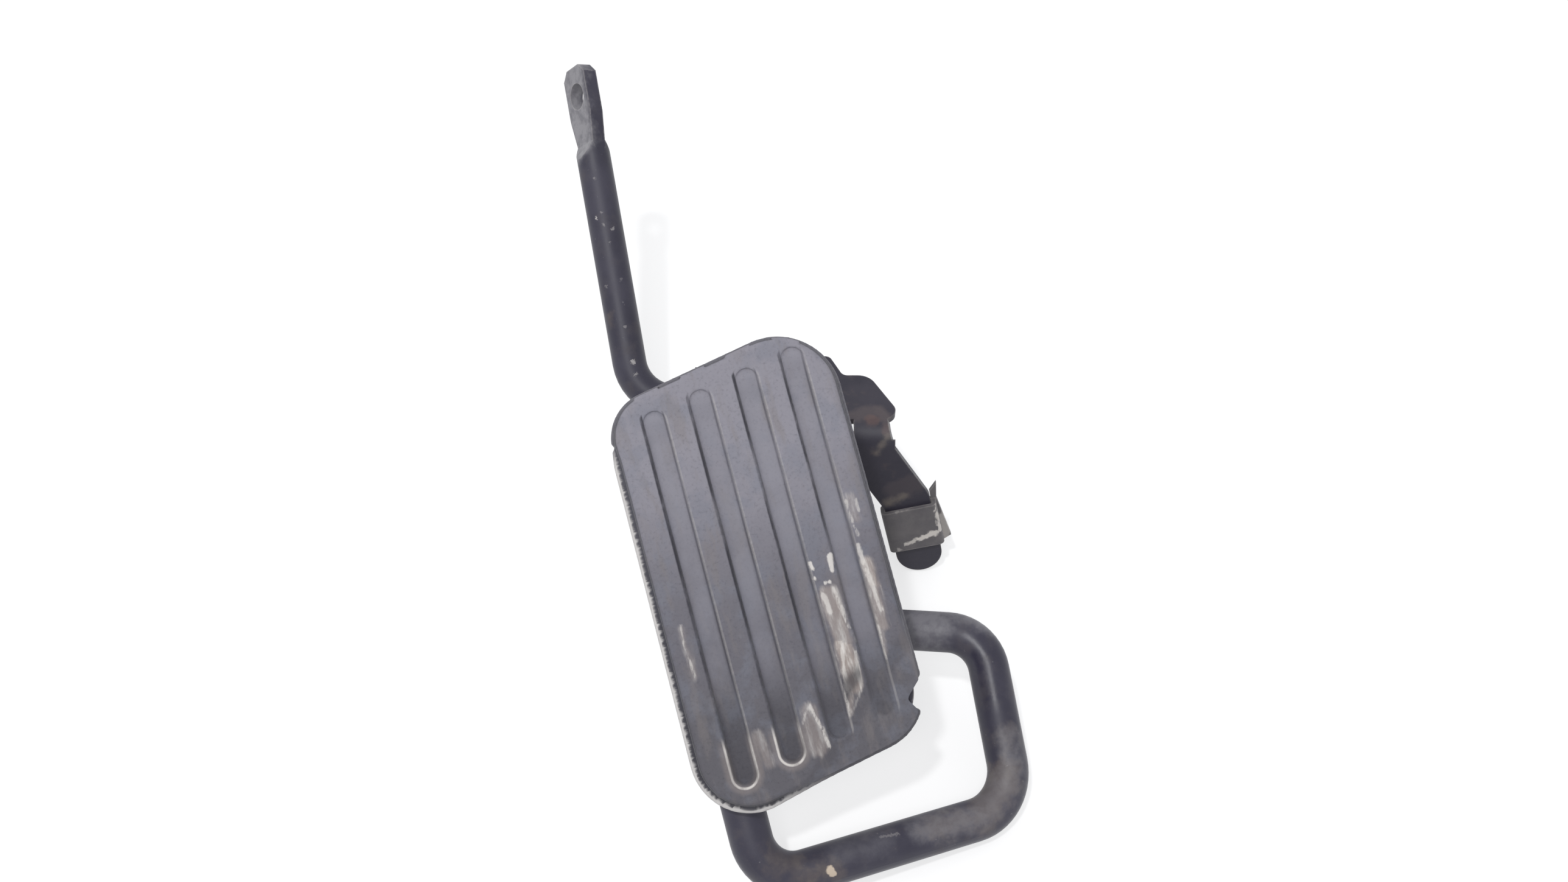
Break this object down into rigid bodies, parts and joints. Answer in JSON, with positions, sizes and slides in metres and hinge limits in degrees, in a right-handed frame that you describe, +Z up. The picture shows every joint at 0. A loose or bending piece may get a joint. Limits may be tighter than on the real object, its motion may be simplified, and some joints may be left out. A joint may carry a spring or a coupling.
{
  "type": "accelerator pedal",
  "caption": "Floor-mounted accelerator pedal: a bent round-bar lever with a flat cable eye and a slanted rubber foot pad, pivoting in a folded sheet bracket.",
  "frame": {"origin": "middle between the two floor bolt holes, on the underside of the bracket's base", "axes": "+Y away from the driver towards the cable eye, +Z up from the floor, +X to the driver's right along the pivot axis"},
  "size_m": [0.1249, 0.2233, 0.0925],
  "materials": {
    "black_paint": "semi-gloss",
    "bracket_paint": "satin, rusty at the edges",
    "pad_rubber": "matt, worn",
    "bush_nylon": "matt",
    "sleeve_band": "matt, worn at the edges"
  },
  "bodies": {
    "bracket": {"mounting_bracket": "bracket_paint", "pivot_bush_left": "bush_nylon", "pivot_bush_right": "bush_nylon", "buffer_sleeve": "sleeve_band"},
    "pedal": {"pedal_rod": "black_paint", "pad_plate": "black_paint", "pad_cover": "pad_rubber", "pad_welds": "black_paint"}
  },
  "joints": [
    {"name": "pedal_pivot", "type": "hinge", "parent": "bracket", "child": "pedal", "pos_m": [0, 0.009, 0.019], "axis": [-1, 0, 0], "range_deg": [0, 25]}
  ]
}
